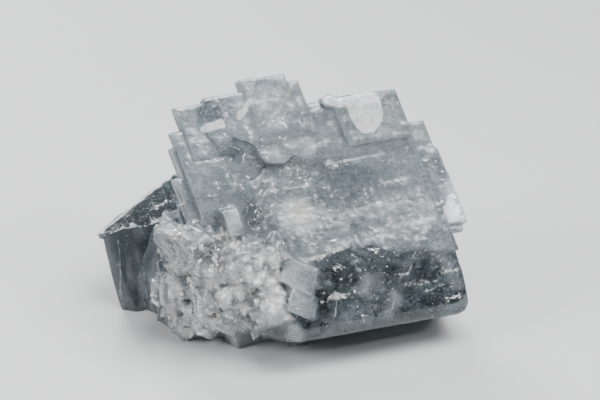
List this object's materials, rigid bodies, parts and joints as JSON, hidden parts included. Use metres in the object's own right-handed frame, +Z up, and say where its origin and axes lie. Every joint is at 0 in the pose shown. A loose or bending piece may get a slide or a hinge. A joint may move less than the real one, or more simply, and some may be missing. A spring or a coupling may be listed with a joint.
{
  "type": "barite crystal cluster",
  "caption": "Cluster of pale blue-grey barite: a stepped pile of rhombic plates leaning back, a chisel-edged side crystal and a crust of small crystals, cut flat below.",
  "frame": {"origin": "middle of the bounding box's bottom, on the surface that the cluster rests on", "axes": "+Z up, -Y towards the front, from where the stepped main crystal is seen, +X to the viewer's right along the longest extent"},
  "size_m": [0.0826, 0.0552, 0.0596],
  "materials": {
    "barite": "vitreous, translucent pale blue-grey crystal with white cloudy patches"
  },
  "bodies": {
    "root": {"barite_cluster": "barite"}
  },
  "joints": []
}
